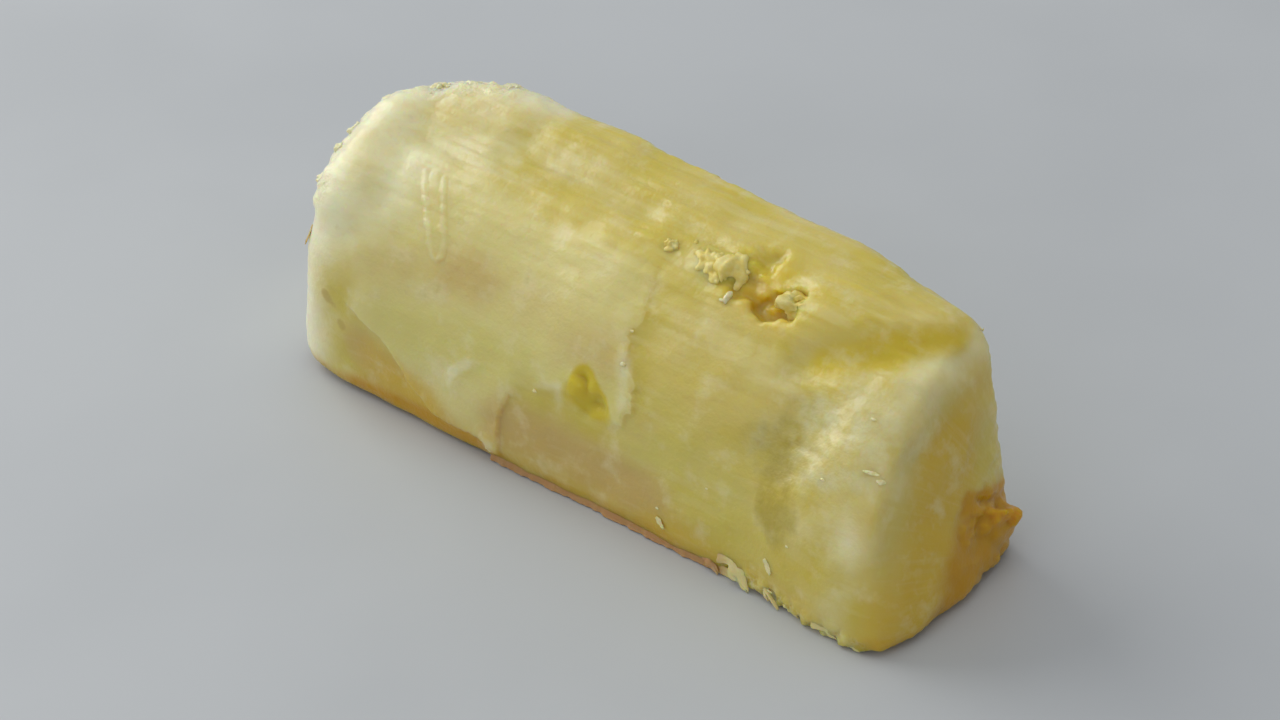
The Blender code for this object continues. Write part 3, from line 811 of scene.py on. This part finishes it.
# Each layer of colour with its shares, the lowest first
colour = layered(FLESH, (
    (FLESH_DEEP, ranged(broad)),
    # Partly painted light: the split sides are made paler, here and with starch below, against the dimmer
    # light there
    (SPLIT, split_here),
    (STARCH, top_here, ranged(bundles, 0.45, 0.68), 0.26),
    (RAY, top_here, ranged(bundles, 0.46, 0.3), 0.34),
    (FILM, zone("film", small, 0, 1, 0.15)),
    (GREEN, zone("green", broad, 0, 1, 0.4), 0.8),
    # Partly painted shade and reflection
    (TAN_SHADE_AND_REFLECTION, zone("tan_shade_and_reflection", cloud, 0, 1, 0.5)),
    # Partly painted light, on the lit left end and the right end's rims
    (CREAM, zone("pale", small, 0.05, 1, 0.3)),
    # Painted shade
    (YELLOW_SHADE, zone("yellow_shade", cloud, 0, 1, 0.4)),
    # Painted shade
    (WARM_SHADE, zone("warm_shade", cloud, 0, 1, 0.4)),
    (STARCH, split_here, ranged(bundles, 0.42, 0.62), 0.6),
    (STARCH, cut_here, ranged(rays, 0.48, 0.8), 0.14),
    (RAY, cut_here, ranged(rays, 0.5, 0.3), 0.18),
    (RAY, cut_here, rings, 0.16),
    (STARCH, crumbly_here, ranged(fine, 0.4, 0.6), 0.6),
    (MUSHY, mush_here, 0.6),
    (WATERY, mush_here, ranged(clots, 0.36, 0.68), 0.9),
    (STARCH, ranged(cloud, 0.5, 0.72), 0.36),
    (STARCH, ranged(streaks, 0.54, 0.7), 0.1),
    (SHADE, zone("shade", blotches, -0.45, 0.75, 2.6), 0.8),
    # Painted shade and glow
    (AMBER_SHADE, zone("amber_shade", small, 0.05, 0.95, 0.3)),
    # Painted shade deep in the fissures
    (AMBER_SHADE, zone("deep", small, 0.2, 1, 0.3), 0.42),
    # Painted shade in the pit
    (PIT_SHADE_COLOUR, zone("pit", small, 0.35, 0.75, 0.3)),
    (FILM_EDGE, zone("edge", small, 0.15, 1.1, 0.6), 0.75),
    (BROWN, zone("brown", small, 0.2, 0.9, 0.5), 0.75),
    (FILM_EDGE, zone("strip", small, 0.3, 1, 0.2), 0.2),
))
wet_surface(shader, colour, ranged(small, 0.3, 0.7, 0.3, 0.5), 3.6, 0.5)
stand_out(
    shader, (fine, 0.06), (small, 0.12), (streaks, 0.07), (strands, split_here, 0.3),
    (fine, mush_here, 0.03), (fine, crumbly_here, 0.2), (rays, cut_here, 0.045))


# The film is the thin inner bark that still clings to the left part of the round side, and a narrow strip of
# it lies folded like a hairpin near the left end. Both merge with the flesh, so they are raised out of its
# mesh, which is first cut finer there.
FILM_RISE = 0.32
FILM_OUTLINE = (
    (-46.5, 17), (-42, 14.6), (-38.4, 13), (-35.6, 11.6), (-33.6, 9.8), (-30.4, 6.3),
    (-26.8, 3.8), (-24, 3.2), (-20.6, 3.4), (-17.4, 3.4), (-16.6, 2), (-15, 2),
    (-14.5, 5.4), (-14.2, 8.2), (-12.9, 11.9), (-8.8, 12.6), (-4.6, 12.4), (0, 11.8),
    (3.6, 13.2), (5.4, 14.8), (7, 17.2), (7.1, 19.9), (4.9, 22.4), (3.6, 24.6),
    (4.6, 27.4), (3, 29.6), (2.4, 31.6), (1.4, 34), (1, 42), (-60, 42),
    (-60, 20),
)
RAG_STEP = 0.45
RAG_WAVES = ((0.5, 0.7), (1.2, 0.5), (2.8, 0.25), (6, 0.12))
RAG_CALM = (-16, -8)
RAG_LEFT = 0.45
FILM_LEFT = (-46, -38)
FILM_TOP = (-4, 2)
FILM_UNDER = (0.5, 0.8)
MERGED = (
    ((-9, -15, 12.6), (2, -14.5, 12), 4.8, 1.4),
    ((4, -2, 31), (5, -12.5, 21), 7, 0.5),
)
PALE_SPOTS = (
    ((-20, -15.3, 14), (-22.4, -15.7, 12), 1.6, 1),
    ((-22.4, -15.7, 12), (-23.1, -16.2, 9.8), 1.1, 0.9),
    ((-18.9, -15.2, 14.9), (-18.2, -15.2, 14.6), 1, 0.8),
    ((-8.4, -14.8, 15), (-4.9, -14.2, 16.5), 1.5, 0.8),
    ((-9.2, -14.9, 14.6), (-9.1, -14.9, 14.5), 0.8, 1),
    ((-17, -16, 2.2), (-16.2, -15.9, 3.2), 2, 0.9),
    ((4.4, -11.4, 22.6), (5.6, -13.4, 18.2), 2.5, 0.8),
)
PALE_RISE = 0.16
BORDER_REACH = 2.6
BORDER_STEEP = 0.24
SOFTER_STEP = 0.34
SOFTER_FROM = (-20, -8)
BORDER_LIFTS = (
    ((4, -7, 27.5), (4, -9.5, 24), 3.5, 0.1),
    ((4.6, -11.5, 22), (6.6, -13.5, 17), 3.5, 0.14),
    ((2.6, -4, 30), (1.6, -1, 32), 3, 0.1),
    ((-16.4, -16, 3), (-14, -15.7, 8), 3, 0.15),
    ((-40, -16, 13), (-24, -16.3, 3.6), 3, 0.12),
)
FILM_WANDER = (2.5, 5, 1.9)
# How unevenly the border lifts, and its paler parts and the brown spots, as (from, to, reach, strength)
LIFT_EVEN = 1.05
LIFT_WAVE = (0.9, 2.3)
LIFT_TEARS = ((1.1, 1.1, 2), 8.2)
LIFT_MOST = 1.7
PALE_BORDER = (
    ((2.6, -8, 27), (2.8, -9.8, 24.4), 3.6, 0.75),
    ((2.4, -4, 30), (1.4, -1, 32), 3.4, 0.4),
    ((-30, -16, 6), (-22, -16.3, 3.2), 3, 0.25),
    ((-4, -12.4, 21.6), (2.8, -12.2, 21), 0.9, 0.3),
)
BROWN_SPOTS = (
    ((-45.6, -15.3, 14.5), (-45.2, -15.3, 14), 1.3, 1.2),
    ((-43, -15.5, 10.9), (-42.8, -15.5, 10.6), 1.2, 1.2),
    ((-44.2, -15.4, 13.4), (-44.1, -15.4, 13.3), 0.8, 0.8),
)
RIM_PALENESS = 0.35
RIM_WIDTH = 0.4
SPOT_PALENESS = 0.85
FINER = ((0.9, 1.1), (0.55, 0.8))
STRIP_ROUTE = (
    (-36.2, -3.9, 31.9), (-34.6, -5.8, 31), (-32.4, -8.2, 29.3), (-30.4, -10.2, 27),
    (-29.2, -11.4, 25.4), (-28.2, -11.6, 24.9), (-27.5, -11, 25.6), (-28.2, -9.8, 27.4),
    (-29.8, -7.9, 29.3), (-31.4, -5.9, 30.9), (-33, -4, 32.1),
)
STRIP_RISE = 0.2
STRIP_REACH = 0.7
STRIP_INSIDE = 0.12
STRIP_MIDDLE = (0.5, 1.1)


def crossing(a, b, c, d):
    """Whether the line from a to b crosses the line from c to d."""
    def side(p, q, r):
        return (q - p).cross(r - p) > 0

    return side(a, b, c) != side(a, b, d) and side(c, d, a) != side(c, d, b)


def uncrossed(points):
    """The same closed outline without the small loops in which it crosses itself."""
    kept = []
    for point in points:
        for back in range(2, min(len(kept), 9)):
            if crossing(kept[-back - 1], kept[-back], kept[-1], point):
                del kept[-back:]
                break
        kept.append(point)
    return kept


def ragged(outline):
    """The same closed outline with many more points, each moved a little out of line."""
    points = []
    for (x0, z0), (x1, z1) in zip(outline, outline[1:] + outline[:1]):
        count = max(round(math.hypot(x1 - x0, z1 - z0) / RAG_STEP), 1)
        for i in range(count):
            place = Vector((x0, z0, 0)).lerp(Vector((x1, z1, 0)), i / count)
            shift = Vector((0, 0, 0))
            calm = RAG_LEFT + (1 - RAG_LEFT) * float(ease(place.x, *RAG_CALM))
            for often, far in RAG_WAVES:
                aside = place * often + Vector((31.7, 12.3, 5.1))
                shift += far * calm * Vector((noise.noise(place * often), noise.noise(aside), 0))
            points.append((place + shift).to_2d())
    return uncrossed(points)


def within(places, outline):
    """How far each place is inside a closed outline seen from the front, and negative outside it."""
    flat = places[:, [0, 2]]
    corners = np.array([tuple(p) for p in outline + outline[:1]])
    inside = np.zeros(len(flat), bool)
    for (x0, z0), (x1, z1) in zip(corners, corners[1:]):
        if z0 != z1:
            spans = (flat[:, 1] > z0) != (flat[:, 1] > z1)
            inside ^= spans & (flat[:, 0] < x0 + (flat[:, 1] - z0) * (x1 - x0) / (z1 - z0))
    nearest = distance_to(flat, corners)
    return np.where(inside, nearest, -nearest)


def on_surface(place, rise=0):
    """The place on the bare form that is nearest to this one, raised along the surface's normal."""
    _, spot, facing, _ = bare.closest_point_on_mesh(Vector(place) * MM)
    return spot / MM + facing * rise, facing


def film_share(places, facings):
    """How fully the film stands out at each place, leaving out its border: 0 where it merges."""
    wander = FILM_WANDER[0] * ripples(places, *FILM_WANDER[1:])
    share = ease(places[:, 0] + wander, *FILM_LEFT) * (1 - ease(places[:, 1] + wander, *FILM_TOP))
    share *= 1 - ease(-facings[:, 2], *FILM_UNDER)
    return share * (1 - np.clip(marked(places, MERGED), 0, 1))


def cut_finer(piece, border_reach, strip_reach):
    """Cuts the faces near the film's border and near the strip into four."""
    middles = rows_of(piece.data.polygons, "center") / MM
    shown = film_share(middles, rows_of(piece.data.polygons, "normal")) > 0.02
    chosen = shown & (np.abs(within(middles, rag)) < border_reach)
    chosen |= distance_to(middles, strip_route) < strip_reach
    cut_up(piece, "FACE", lambda face: bool(chosen[face.index]))


rag = ragged(FILM_OUTLINE)
strip_route = [on_surface(place, FILM_RISE)[0] for place in STRIP_ROUTE]
for border_reach, strip_reach in FINER:
    cut_finer(flesh, border_reach, strip_reach)
places, facings = points_of(flesh)
share = film_share(places, facings)
inward = within(places, rag)
steep = BORDER_STEEP + SOFTER_STEP * ease(places[:, 0], *SOFTER_FROM)
layer = ease(inward / steep, -1, 1)
near = layer * (1 - ease(inward, 0, BORDER_REACH))
uneven = LIFT_EVEN + LIFT_WAVE[0] * ripples(places, LIFT_WAVE[1]) - np.abs(ripples(places, *LIFT_TEARS))
lift = near * marked(places, BORDER_LIFTS) * np.clip(uneven, 0, LIFT_MOST)
folded = np.clip(1 - (distance_to(places, strip_route) / STRIP_REACH) ** 2, 0, 1)
middle_line = [(a + b) / 2 for a, b in zip(strip_route, reversed(strip_route))][: len(strip_route) // 2]
lying = 1 - ease(distance_to(places, middle_line), *STRIP_MIDDLE)
out = share * (FILM_RISE * layer + lift) + STRIP_RISE * folded**1.5 + STRIP_INSIDE * lying
out += PALE_RISE * np.clip(marked(places, PALE_SPOTS), 0, 1) ** 0.5
raise_by(flesh, out)
paint_zones(flesh)
places, _ = points_of(flesh)
paint(flesh, "film", share * ease(inward, -0.1, 0.1))
paint(flesh, "strip", folded)
rim = RIM_PALENESS * (1 - ease(inward, 0, RIM_WIDTH))
pale = layer * share * (marked(places, PALE_BORDER) + rim)
paint(flesh, "edge", pale + SPOT_PALENESS * marked(places, PALE_SPOTS))
paint(flesh, "brown", marked(places, BROWN_SPOTS))
ride_on_root(flesh, boiled)
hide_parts("cassava_piece")

# Thin torn bits of film share this finish. They are too thin to let light go far into them.
THIN_EDGE = (0.88, 0.82, 0.47, 1)
THIN = (0.82, 0.72, 0.33, 1)
THIN_TAN_SHADOW = (0.52, 0.29, 0.11, 1)
filmy, tree, shader = new_finish("thin_torn_film")
small = speckle(tree, 1.6, detail=3)
colour = layered(THIN, (
    (FILM, ranged(small)),
    # Partly painted shadow and reflection, on the lip
    (THIN_TAN_SHADOW, zone("tan_shade_and_reflection", small, 0.2, 0.9, 0.3)),
    (THIN_EDGE, zone("edge", small, 0.1, 1, 0.4)),
    (BROWN, zone("brown", small, 0.2, 0.8, 0.3)),
))
wet_surface(shader, colour, ranged(small, 0.3, 0.7, 0.26, 0.42), 0.12, 0.5)
stand_out(shader, (speckle(tree, 0.4), 0.04), (small, 0.06))


# Flaps of film. Small torn tags that peeling has lifted stand on the film's tongue and low on the right part,
# and a brown one hangs on the left end. They are thin and curl off the flesh.
FLAP_STEPS = (13, 7)
FLAP_THICKNESS = 0.12
FLAPS = (
    # root, tip, width, rise at the root, curl at the tip
    ((-15.4, -15.4, 4.6), (-16.8, -15.8, 2), 1.5, 0.2, 0.15),
    ((12.2, -15.2, 4.2), (13.6, -15.4, 3.2), 0.9, 0.02, 0.15),
    ((30.4, -14.9, 6.2), (31.8, -15.2, 4.6), 0.9, 0.02, 0.2),
    ((-50.3, -11, 21.2), (-50.6, -12.8, 19.2), 1.1, 0.05, 0.45),
)
BROWN_FLAP = FLAPS[-1]


def wave_at(*place):
    """Smooth noise from -1 to 1 at this place."""
    return noise.noise(Vector(place))


def thin_sheet(steps, place_of, thickness):
    """A sheet of this thickness whose gridded points, u from 0 to 1 and v from -1 to 1, go to place_of."""
    made = added(
        bpy.ops.mesh.primitive_grid_add, x_subdivisions=steps[0], y_subdivisions=steps[1], size=2)
    for vert in made.data.vertices:
        vert.co = place_of((vert.co.x + 1) / 2, vert.co.y) * MM
    shaped_by(made, "SOLIDIFY", thickness=thickness * MM, offset=0)
    return made


def flap(root, tip, width, rise, curl, seed):
    """A thin torn flap that starts at its root and curls off the surface towards its tip."""
    root, tip = Vector(root), Vector(tip)
    line = tip - root
    side = line.cross(on_surface((root + tip) / 2)[1]).normalized()

    def place_of(u, v):
        torn = 1 + 0.7 * wave_at(u * 6.5, seed * 3.7, math.copysign(2, v))
        reach = u * (1 + 0.4 * wave_at(v * 3.1, seed * 5.1, 0))
        wide = width / 2 * torn * (0.35 + 0.65 * math.sin(math.pi * min(0.12 + 0.8 * u, 1)))
        height = rise + curl * u * u + 0.1 * wave_at(u * 3, v * 2, seed * 1.3)
        return on_surface(root + line * reach + side * (v * wide), height)[0]

    return thin_sheet(FLAP_STEPS, place_of, FLAP_THICKNESS)


flaps = fused("film_flaps", [flap(*row, seed) for seed, row in enumerate(FLAPS)])
shaped_by(flaps, "SUBSURF", levels=1)
places, _ = points_of(flaps)
dark_one = bump(places, *BROWN_FLAP[:2], 3) > 0
paint(flaps, "edge", np.where(dark_one, 0, 0.6))
paint(flaps, "brown", np.where(dark_one, 1, 0))
ride_on_root(flaps, filmy)


# Torn slivers and lip. Along the bottom edge the knife has left shards of flesh that point out and down, and
# farther left a thin lip of film lies out on the table. Its dark tan is partly a painted contact shadow and
# reflection along the bottom edge.
SLIVERS = (
    ((23.4, -15, 4.2), (27.8, -16.4, 0.5), 3.2),
    ((28.8, -15.4, 3.1), (33, -16.8, 0.3), 1.2),
    ((33.2, -15.6, 1.8), (35.8, -16.3, 0.3), 1.4),
    ((38.4, -16, 2.4), (42.6, -17, 0.6), 2.3),
    ((43.4, -16.2, 1.4), (46, -17, 0.4), 1.5),
    ((29.8, -15.4, 2), (31.2, -16.4, 0.3), 1),
    ((19.8, -15, 1.8), (22.4, -15.9, 0.4), 1.5),
)
SLIVER_STEPS = (16, 9)
SLIVER_THICKNESS = 0.15
LIP_SPAN = (-17, 25)
LIP_STEPS = (110, 6)
LIP_REACH = 0.42
LIP_THICKNESS = 0.12
RIGHT_SIDE = (20, 27)


def sliver(root, tip, width, seed):
    """A shard of flesh that tapers from its root inside the piece to its free tip."""
    root, tip = on_surface(root, -0.5)[0], Vector(tip)
    line = tip - root
    side = line.cross(Vector((0, -0.8, 0.6))).normalized()
    out = side.cross(line).normalized()

    def place_of(u, v):
        torn = 1 + 0.9 * wave_at(u * 7, seed * 2.9, math.copysign(1.5, v))
        wide = width / 2 * torn * (1 - 0.9 * u**1.8)
        bow = 0.25 * math.sin(math.pi * u) + 0.2 * wave_at(u * 2, v, seed * 1.7) - 0.25 * v * v
        reach = u * (1 + 0.35 * wave_at(v * 3.3, seed * 4.3, 2))
        return root + line * reach + side * (v * wide) + out * bow

    return thin_sheet(SLIVER_STEPS, place_of, SLIVER_THICKNESS)


def lip_place(u, v):
    """Where a point of the lip goes: out on the table along the piece's front edge, with a ragged rim."""
    out = (v + 1) / 2
    x = LIP_SPAN[0] + (LIP_SPAN[1] - LIP_SPAN[0]) * u
    foot, _ = on_surface((x, -17, 0.7), -0.25)
    far = LIP_REACH * math.sin(math.pi * u) ** 0.4 * (0.65 + 0.6 * wave_at(x / 2.6, 0, 4))
    far += 0.45 * wave_at(x / 0.9, 2, 4)
    height = foot.z * (1 - out) ** 1.6 + 0.16 + 0.12 * wave_at(x / 1.9, out * 2, 9)
    return Vector((x, foot.y - (0.25 + max(far, 0.1)) * out, height))


shards = [sliver(*row, seed) for seed, row in enumerate(SLIVERS)]
slivers = fused("torn_slivers", shards + [thin_sheet(LIP_STEPS, lip_place, LIP_THICKNESS)])
shaped_by(slivers, "SUBSURF", levels=1)
lay_down(slivers, floor=0.02)
places, _ = points_of(slivers)
right_side = ease(places[:, 0], *RIGHT_SIDE)
paint(slivers, "edge", 0.05 + 0.25 * right_side)
# The lip is painted dark tan, partly painted shadow and reflection; the shards on the right much less
paint(slivers, "tan_shade_and_reflection", 0.85 - 0.75 * right_side)
ride_on_root(slivers, filmy)


# Crumbs: grains of loose flesh along the torn opening and on the left end's rim, each sunk well into the
# flesh under it.
CRUMB_ROWS = (
    # from, to, how many coarse ones and fine ones, size
    ((1.5, 1.6, 34.2), (3.5, 1, 33.8), 2, 1),
    ((7.5, 0.8, 33.8), (12.5, 1.2, 33.2), 4, 1.7),
    ((21.8, 1.8, 32.6), (23, 1.4, 32.2), 2, 1.4),
    ((-49, -10, 28), (-51, 6, 32), 5, 0.8),
    ((-48, 8, 33.5), (-35, 13.5, 35.5), 5, 0.8),
)
CRUMB_SCATTER = 0.9
CRUMB_SIZES = (0.6, 1.3)
CRUMB_STRETCH = (1, 1.8)
CRUMB_SINK = 0.62
FINE_SHARE = 0.4
CRUMB_WAVES = ((0.65, 1.2, 1), (0.22, 2.9, 2), (0.07, 7, 1))
CRUMB_DEEP = (0.84, 0.68, 0.16, 1)
CRUMB_PALE = (0.88, 0.77, 0.29, 1)

draw = random.Random(7)


def crumb(middle, size, detail):
    """One rough grain, sunk into the flesh at the nearest place on it."""
    radius = size * draw.uniform(*CRUMB_SIZES)
    spin, stretch = draw.uniform(0, math.pi), draw.uniform(*CRUMB_STRETCH)
    spot, facing = on_surface(middle)
    spot = spot - facing * radius * CRUMB_SINK
    halves = Vector((radius * stretch, radius, radius))
    return uneven_ball(spot, Matrix.Rotation(spin, 3, facing), halves, detail, CRUMB_WAVES)


grains = []
for start, finish, count, size in CRUMB_ROWS:
    start, finish = Vector(start), Vector(finish)
    for i in range(count):
        middle = start.lerp(finish, (i + 0.5) / count)
        middle += Vector([draw.uniform(-CRUMB_SCATTER, CRUMB_SCATTER) for _ in range(3)])
        grains.append(crumb(middle, size, 4))
    for _ in range(count):
        middle = start.lerp(finish, draw.random())
        middle += Vector([draw.gauss(0, CRUMB_SCATTER) for _ in range(3)])
        grains.append(crumb(middle, size * FINE_SHARE, 3))
crumbs = fused("crumbs", grains)
places, _ = points_of(crumbs)
# Crumbs on the left end are painted cream like the flesh there, which is partly painted light
paint(crumbs, "pale", ease(-places[:, 0], 10, 25))

starchy_finish, tree, shader = new_finish("loose_starch")
small = speckle(tree, 1.1, detail=3)
colour = layered(CRUMB_DEEP, (
    (CRUMB_PALE, ranged(small)),
    (CREAM, zone("pale", small, 0.2, 0.9, 0.2), 0.85),
))
wet_surface(shader, colour, ranged(small, 0.3, 0.7, 0.35, 0.55), 0.15, 0.3)
stand_out(shader, (speckle(tree, 0.35), 0.08))
shader.inputs["Subsurface Weight"].default_value = 0.4
ride_on_root(crumbs, starchy_finish)


# Wet beads: small drops of cloudy starch water by the torn opening, on the film's border, by the pit, low
# down and near the right end.
BEADS = (
    # place, radius, how many times longer than wide
    (13.8, -1.9, 31.4, 0.95, 0.45), (13.2, -2.5, 31, 0.22, 1.4), (4.4, -11.6, 22.3, 0.34, 1.2),
    (43.4, -10.5, 22.3, 0.24, 5), (45, -10.6, 21.7, 0.34, 1.6),
    (-8.6, -14.9, 14.3, 0.2, 1.8), (12.4, -15.2, 5.6, 0.18, 1.5), (3.9, -8.8, 25.6, 0.18, 1.6),
    (20.2, -14.9, 11.8, 0.14, 1.3), (34.2, -14.9, 9.8, 0.16, 1.6), (37.4, -12.2, 19.6, 0.18, 2.2),
    (40.6, -6.4, 26.8, 0.2, 2), (31.4, -15.9, 2, 0.16, 3),
)
BEAD_FLATNESS = 0.5
BEAD_WAVES = ((0.35, 0.9, 1),)
BEAD_RISE = 0.08
FILM_ENDS = 8
DROP_DEEP = (0.8, 0.73, 0.34, 1)
DROP_PALE = (0.88, 0.84, 0.52, 1)


def bead(x, y, z, radius, length):
    """A flat drop that lies on the surface at the nearest place."""
    spot, facing = on_surface((x, y, z), FILM_RISE if x < FILM_ENDS else BEAD_RISE)
    halves = Vector((1, length, BEAD_FLATNESS)) * radius
    return uneven_ball(spot, facing.to_track_quat("Z", "X").to_matrix(), halves, 3, BEAD_WAVES)


beads = fused("wet_beads", [bead(*row) for row in BEADS])
watery, tree, shader = new_finish("cloudy_starch_water")
colour = tinted(DROP_DEEP, DROP_PALE, ranged(speckle(tree, 0.5)))
wet_surface(shader, colour, 0.12, 0.2, 1)
shader.inputs["Coat Roughness"].default_value = 0.05
ride_on_root(beads, watery)


# Loose strands. The root's woody strands run lengthwise through the flesh, and on the split sides some have
# come half free and lie along it like coarse threads.
STRAND_COUNT = 46
STRAND_RADIUS = 0.13
STRAND_POINTS = 9
LOOSE_FROM = (-50, 34)
LOOSE_LENGTHS = (7, 24)
LOOSE_HEIGHTS = (1.5, 32)
LOOSE_BACK = 17
LOOSE_END = 46
STRAND_PALE = (0.88, 0.82, 0.48, 1)
STRAND_DEEP = (0.82, 0.71, 0.34, 1)

drawn = bpy.data.curves.new("loose_strands", "CURVE")
drawn.dimensions = "3D"
drawn.bevel_depth = STRAND_RADIUS * MM
drawn.bevel_resolution = 1
drawn.use_fill_caps = True
drawn.resolution_u = 3
draw = random.Random(31)
for i in range(STRAND_COUNT):
    x = draw.uniform(*LOOSE_FROM)
    long = draw.uniform(*LOOSE_LENGTHS)
    z = draw.uniform(*LOOSE_HEIGHTS)
    slope = draw.uniform(-0.1, 0.1)
    loose_end = draw.uniform(0.1, 0.9)
    spline = drawn.splines.new("NURBS")
    spline.points.add(STRAND_POINTS - 1)
    for k, point in enumerate(spline.points):
        share = k / (STRAND_POINTS - 1)
        sway = 0.5 * wave_at(share * 3, i * 2.3, 0)
        place = (min(x + long * share, LOOSE_END), LOOSE_BACK, z + slope * long * share + sway)
        rise = 0.02 + loose_end * max(share - 0.75, 0) * 4 * 0.8 - 0.25 * max(0.15 - share, 0) / 0.15
        point.co = (*(on_surface(place, rise)[0] * MM), 1)
        point.radius = 1.25 - 0.75 * share
    spline.use_endpoint_u = True
    spline.order_u = 3
linked("loose_strands", drawn)
bpy.ops.object.convert(target="MESH")
strands_piece = mended(bpy.context.object, bpy.ops.mesh.remove_doubles, threshold=0.00001)

woody, tree, shader = new_finish("pale_woody_strand")
along_strand = speckle(tree, 0.3, longer=8)
colour = tinted(STRAND_PALE, STRAND_DEEP, ranged(speckle(tree, 5)))
wet_surface(shader, colour, ranged(along_strand, 0.3, 0.7, 0.38, 0.56), 0.2, 0.3)
stand_out(shader, (along_strand, 0.05))
ride_on_root(strands_piece, woody)


# The end of the making: the guide form goes.
bpy.data.objects.remove(bare, do_unlink=True)
